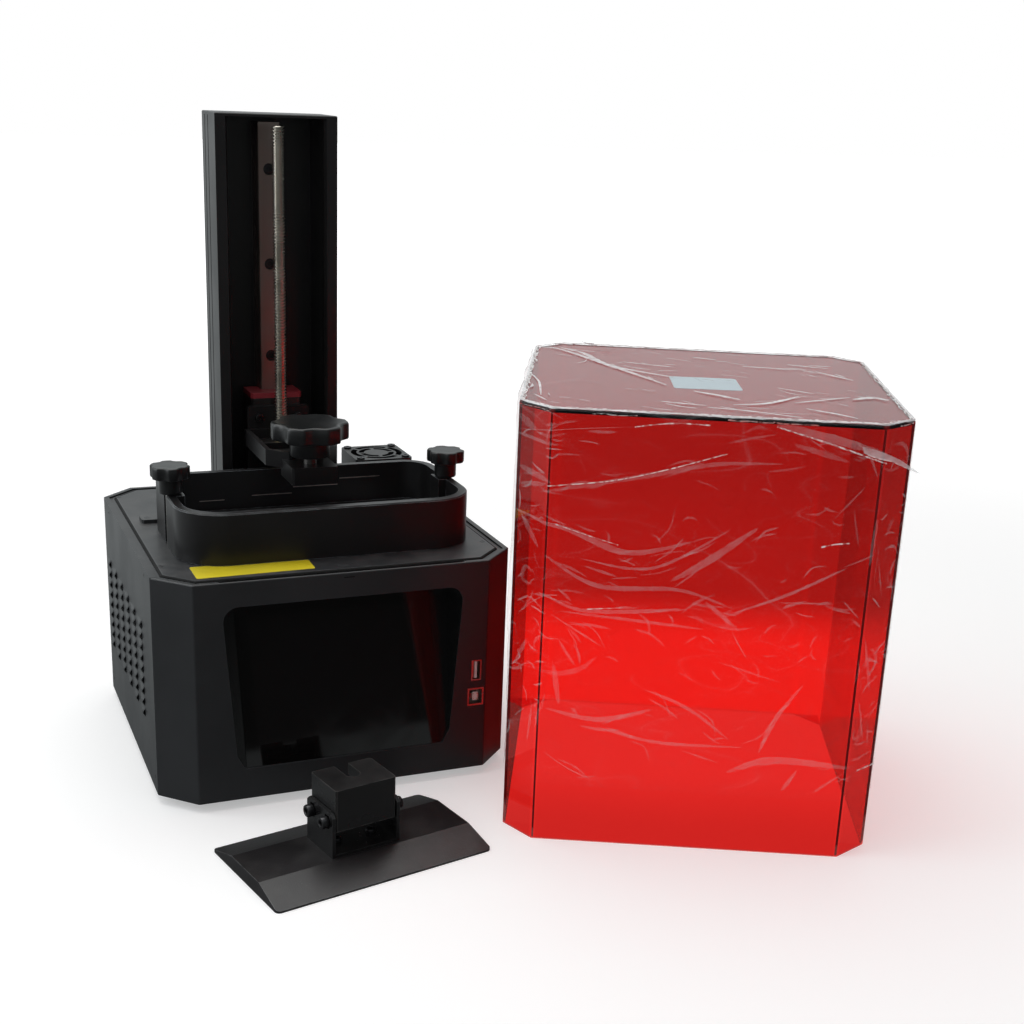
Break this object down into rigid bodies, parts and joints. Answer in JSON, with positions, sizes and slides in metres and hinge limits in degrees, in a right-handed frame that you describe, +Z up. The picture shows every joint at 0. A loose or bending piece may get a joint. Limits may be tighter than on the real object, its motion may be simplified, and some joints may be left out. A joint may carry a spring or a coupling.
{
  "type": "resin 3d printer",
  "caption": "Desktop resin printer with touch screen, vat and Z column; its tinted cover and its build platform stand beside it.",
  "frame": {"origin": "middle of the footprint of the whole group, on the table", "axes": "+X to the printer's right, towards the cover; +Y to the printer's back; +Z up"},
  "size_m": [0.4604, 0.391, 0.394],
  "materials": {
    "black_shell": "black powder-coated sheet, fine texture, satin",
    "deck_black": "black powder-coated plate, satin",
    "hidden_steel": "plain zinc-plated sheet",
    "vat_black": "black anodised, satin",
    "column_black": "black anodised extrusion, satin",
    "arm_black": "black anodised, satin",
    "rail_steel": "ground steel, slightly oiled",
    "bright_steel": "bright steel",
    "screw_black": "black oxide",
    "seal_red": "red moulded plastic",
    "knob_black": "black moulded plastic, fine grain",
    "rubber_black": "black rubber",
    "glass_black": "black front glass, polished",
    "screen_glass": "dark polished glass",
    "film_clear": "clear release film",
    "board_green": "circuit board, solder mask",
    "plastic_black": "black moulded plastic",
    "socket_steel": "plated steel shell",
    "fan_black": "black moulded plastic",
    "alloy_plain": "plain extruded aluminium",
    "brass_nut": "turned brass",
    "cover_red": "transparent red acrylic, polished",
    "wrap_clear": "thin clear protective film",
    "platform_alloy": "dark anodised, bead blasted"
  },
  "bodies": {
    "base": {"bottom_tray": "hidden_steel", "feet": "rubber_black", "front_fascia": "black_shell", "side_panel_left": "black_shell", "side_panel_right": "black_shell", "rear_panel": "black_shell", "chassis_frame": "hidden_steel", "deck_plate": "deck_black", "exposure_screen": "screen_glass", "touch_glass": "glass_black", "display_module": "plastic_black", "usb_a_port": "socket_steel", "usb_b_port": "socket_steel", "usb_board": "board_green", "main_board": "board_green", "power_supply": "hidden_steel", "power_inlet": "plastic_black", "switch_frame": "plastic_black", "uv_housing": "plastic_black", "uv_board": "board_green", "uv_heatsink": "alloy_plain", "stepper_motor": "screw_black", "vat_stops": "arm_black", "column": "column_black", "column_cap": "column_black", "linear_rail": "rail_steel", "rail_screws": "screw_black", "fan_housing": "fan_black", "fan_guard": "fan_black", "fan_spider": "fan_black"},
    "carriage": {"guide_block": "screw_black", "guide_seals": "seal_red", "carriage_plate": "arm_black", "carriage_screws": "screw_black", "platform_arm": "arm_black", "lead_nut": "brass_nut"},
    "lead_screw": {"lead_screw": "bright_steel"},
    "clamp_stud": {"clamp_stud": "bright_steel"},
    "clamp_knob": {"clamp_knob": "knob_black"},
    "vat": {"vat_frame": "vat_black", "vat_film": "film_clear", "film_ring": "bright_steel"},
    "vat_stud_left": {"vat_stud_left": "bright_steel"},
    "vat_knob_left": {"vat_knob_left": "knob_black"},
    "vat_stud_right": {"vat_stud_right": "bright_steel"},
    "vat_knob_right": {"vat_knob_right": "knob_black"},
    "fan_rotor": {"fan_rotor": "fan_black"},
    "switch_rocker": {"switch_rocker": "plastic_black"},
    "cover": {"cover": "cover_red", "cover_wrap": "wrap_clear"},
    "platform": {"platform_plate": "platform_alloy", "platform_bracket": "arm_black", "bracket_screws": "screw_black"},
    "platform_head": {"platform_block": "platform_alloy", "levelling_screws": "screw_black"}
  },
  "joints": [
    {"name": "carriage_slide", "type": "slide", "parent": "base", "child": "carriage", "axis": [0, 0, 1], "range_m": [-0.006, 0.16]},
    {"name": "lead_screw_turn", "type": "hinge", "parent": "base", "child": "lead_screw", "pos_m": [-0.11814, 0.12704, 0.143], "axis": [0, 0, 1], "continuous": true},
    {"name": "clamp_rise", "type": "slide", "parent": "carriage", "child": "clamp_stud", "axis": [0, 0, 1], "range_m": [0, 0.006]},
    {"name": "clamp_turn", "type": "hinge", "parent": "clamp_stud", "child": "clamp_knob", "pos_m": [-0.11814, 0.05404, 0.2], "axis": [0, 0, 1], "range_deg": [0, 1728]},
    {"name": "vat_lift", "type": "slide", "parent": "base", "child": "vat", "axis": [0, 0, 1], "range_m": [0, 0.008]},
    {"name": "vat_screw_rise_left", "type": "slide", "parent": "vat", "child": "vat_stud_left", "axis": [0, 0, 1], "range_m": [0, 0.003]},
    {"name": "vat_screw_turn_left", "type": "hinge", "parent": "vat_stud_left", "child": "vat_knob_left", "pos_m": [-0.20414, 0.05604, 0.185], "axis": [0, 0, 1], "range_deg": [0, 1080]},
    {"name": "vat_screw_rise_right", "type": "slide", "parent": "vat", "child": "vat_stud_right", "axis": [0, 0, 1], "range_m": [0, 0.003]},
    {"name": "vat_screw_turn_right", "type": "hinge", "parent": "vat_stud_right", "child": "vat_knob_right", "pos_m": [-0.02774, 0.05604, 0.185], "axis": [0, 0, 1], "range_deg": [0, 1080]},
    {"name": "fan_spin", "type": "hinge", "parent": "base", "child": "fan_rotor", "pos_m": [-0.04664, 0.14404, 0.16], "axis": [0, 0, 1], "continuous": true},
    {"name": "switch_tilt", "type": "hinge", "parent": "base", "child": "switch_rocker", "pos_m": [-0.14614, 0.19054, 0.038], "axis": [1, 0, 0], "range_deg": [-24, 0]},
    {"name": "cover_lift", "type": "slide", "parent": "base", "child": "cover", "axis": [0, 0, 1], "range_m": [0, 0.28]},
    {"name": "platform_lift", "type": "slide", "parent": "base", "child": "platform", "axis": [0, 0, 1], "range_m": [0, 0.15]},
    {"name": "platform_tilt", "type": "hinge", "parent": "platform", "child": "platform_head", "pos_m": [-0.13494, -0.09896, 0.028], "axis": [0.9767, 0.2147, 0], "range_deg": [-1.5, 1.5]}
  ],
  "couplings": [
    {"joint": "lead_screw_turn", "follows": "carriage_slide", "rad_per_m": -3141.6},
    {"joint": "clamp_rise", "follows": "clamp_turn", "m_per_rad": 0.00019894},
    {"joint": "vat_screw_rise_left", "follows": "vat_screw_turn_left", "m_per_rad": 0.00015915},
    {"joint": "vat_screw_rise_right", "follows": "vat_screw_turn_right", "m_per_rad": 0.00015915}
  ]
}
